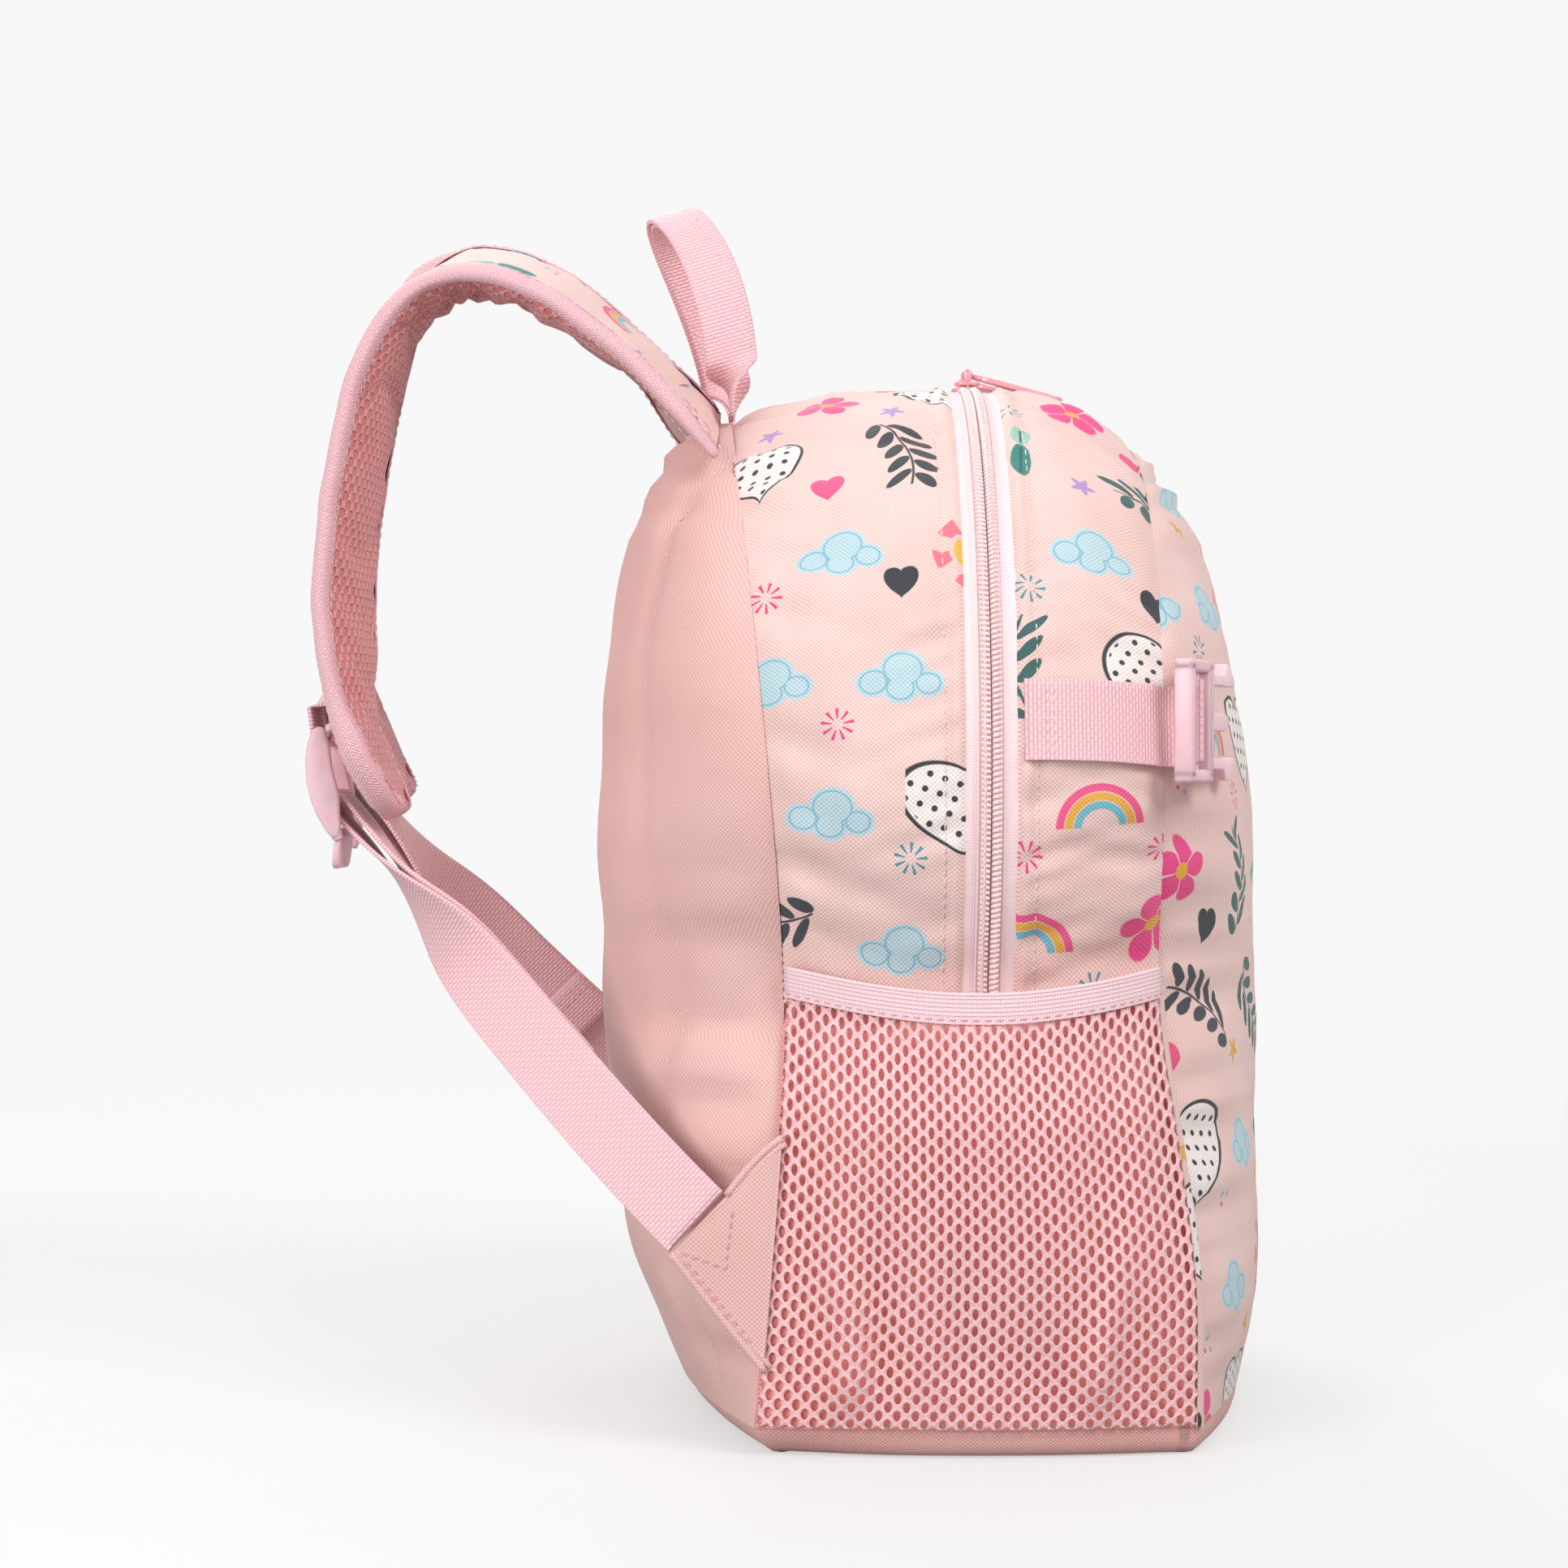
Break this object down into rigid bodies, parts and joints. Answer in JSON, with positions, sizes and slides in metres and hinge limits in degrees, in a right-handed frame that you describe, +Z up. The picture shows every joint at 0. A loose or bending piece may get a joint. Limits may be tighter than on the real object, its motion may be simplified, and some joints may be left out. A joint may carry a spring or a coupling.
{
  "type": "school backpack",
  "caption": "Child's school backpack with an arched two-way zip, mesh side pockets, padded shoulder straps and a grab handle.",
  "frame": {"origin": "centre of the base's resting face", "axes": "+Z up, the front panel faces -Y, the back panel and the shoulder straps are on +Y, X is the width"},
  "size_m": [0.2632, 0.3288, 0.409],
  "materials": {
    "printed_fabric": "printed polyester weave",
    "plain_fabric": "plain polyester weave",
    "coral_fabric": "plain weave",
    "pocket_mesh": "knitted mesh with long holes",
    "elastic": "ribbed elastic",
    "zip_tape": "woven zip tape",
    "zip_coil": "nylon coil",
    "zip_metal": "painted, smooth",
    "webbing": "ribbed webbing",
    "binding": "herringbone tape",
    "air_mesh": "spacer mesh",
    "foam": "closed-cell foam",
    "base_card": "stiff board",
    "side_buckle_plastic": "moulded acetal, slightly clear",
    "lock_plastic": "moulded acetal, slightly clear"
  },
  "bodies": {
    "bag_body": {"back_panel": "plain_fabric", "back_foam": "foam", "rear_gusset": "printed_fabric", "rear_zip_tape": "zip_tape", "rear_zip_coil": "zip_coil", "base_panel": "plain_fabric", "base_board": "base_card", "side_panel_left": "coral_fabric", "side_panel_right": "coral_fabric", "mesh_pocket_left": "pocket_mesh", "mesh_pocket_right": "pocket_mesh", "pocket_elastic_left": "elastic", "pocket_elastic_right": "elastic", "front_panel_lower": "printed_fabric", "front_fold": "printed_fabric", "strap_tab_left": "plain_fabric", "strap_tab_right": "plain_fabric"},
    "front_flap": {"front_panel_upper": "printed_fabric", "front_gusset": "printed_fabric", "front_zip_tape": "zip_tape", "front_zip_coil": "zip_coil", "side_strap_left": "webbing", "side_strap_right": "webbing"},
    "grab_handle": {"grab_handle": "webbing"},
    "side_buckle_left": {"side_buckle_left": "side_buckle_plastic"},
    "slider_left": {"slider_left": "zip_metal"},
    "puller_left": {"puller_left": "zip_metal"},
    "shoulder_strap_left": {"strap_neck_left": "printed_fabric", "strap_cover_left": "printed_fabric", "strap_foam_left": "foam", "strap_mesh_left": "air_mesh", "strap_binding_left": "binding", "lock_loop_left": "webbing", "strap_webbing_left": "webbing"},
    "ladder_lock_left": {"ladder_lock_left": "lock_plastic"},
    "side_buckle_right": {"side_buckle_right": "side_buckle_plastic"},
    "slider_right": {"slider_right": "zip_metal"},
    "puller_right": {"puller_right": "zip_metal"},
    "shoulder_strap_right": {"strap_neck_right": "printed_fabric", "strap_cover_right": "printed_fabric", "strap_foam_right": "foam", "strap_mesh_right": "air_mesh", "strap_binding_right": "binding", "lock_loop_right": "webbing", "strap_webbing_right": "webbing"},
    "ladder_lock_right": {"ladder_lock_right": "lock_plastic"}
  },
  "joints": [
    {"name": "flap_open", "type": "hinge", "parent": "bag_body", "child": "front_flap", "pos_m": [0, -0.005, 0.15], "axis": [1, 0, 0], "range_deg": [0, 18], "deforming": ["front_fold"]},
    {"name": "slider_run_left", "type": "hinge", "parent": "front_flap", "child": "slider_left", "pos_m": [0, -0.005, 0.2135], "axis": [0, -1, 0], "range_deg": [0, 104]},
    {"name": "puller_swing_left", "type": "hinge", "parent": "slider_left", "child": "puller_left", "pos_m": [-0.00994, -0.005, 0.34884], "axis": [-0.9973, 0, -0.0732], "range_deg": [0, 190]},
    {"name": "slider_run_right", "type": "hinge", "parent": "front_flap", "child": "slider_right", "pos_m": [0, -0.005, 0.2135], "axis": [0, 1, 0], "range_deg": [0, 104]},
    {"name": "puller_swing_right", "type": "hinge", "parent": "slider_right", "child": "puller_right", "pos_m": [0.00994, -0.005, 0.34884], "axis": [-0.9973, 0, 0.0732], "range_deg": [0, 190]},
    {"name": "handle_tilt", "type": "hinge", "parent": "bag_body", "child": "grab_handle", "pos_m": [0, 0.076, 0.3305], "axis": [1, 0, 0], "range_deg": [-8, 42]},
    {"name": "strap_swing_left", "type": "hinge", "parent": "bag_body", "child": "shoulder_strap_left", "pos_m": [-0.045, 0.0786, 0.3248], "axis": [0.2655, -0.0229, 0.9638], "range_deg": [0, 30], "deforming": ["strap_neck_left"]},
    {"name": "strap_swing_right", "type": "hinge", "parent": "bag_body", "child": "shoulder_strap_right", "pos_m": [0.045, 0.0786, 0.3248], "axis": [0.2655, 0.0229, -0.9638], "range_deg": [0, 45], "deforming": ["strap_neck_right"]},
    {"name": "lock_tilt_left", "type": "hinge", "parent": "shoulder_strap_left", "child": "ladder_lock_left", "pos_m": [-0.045, 0.20602, 0.20294], "axis": [1, 0, 0], "range_deg": [-0.5, 3]},
    {"name": "buckle_turn_left", "type": "hinge", "parent": "front_flap", "child": "side_buckle_left", "pos_m": [-0.11355, -0.0685, 0.2275], "axis": [0, 0, -1], "range_deg": [0, 40]},
    {"name": "lock_tilt_right", "type": "hinge", "parent": "shoulder_strap_right", "child": "ladder_lock_right", "pos_m": [0.0316, 0.21372, 0.20919], "axis": [0.9803, 0.0678, 0.1853], "range_deg": [0, 3]},
    {"name": "buckle_turn_right", "type": "hinge", "parent": "front_flap", "child": "side_buckle_right", "pos_m": [0.11355, -0.0685, 0.2275], "axis": [0, 0, 1], "range_deg": [0, 40]}
  ],
  "couplings": [
    {"joint": "slider_run_left", "follows": "flap_open", "ratio": 5.75},
    {"joint": "slider_run_right", "follows": "flap_open", "ratio": 5.75}
  ]
}
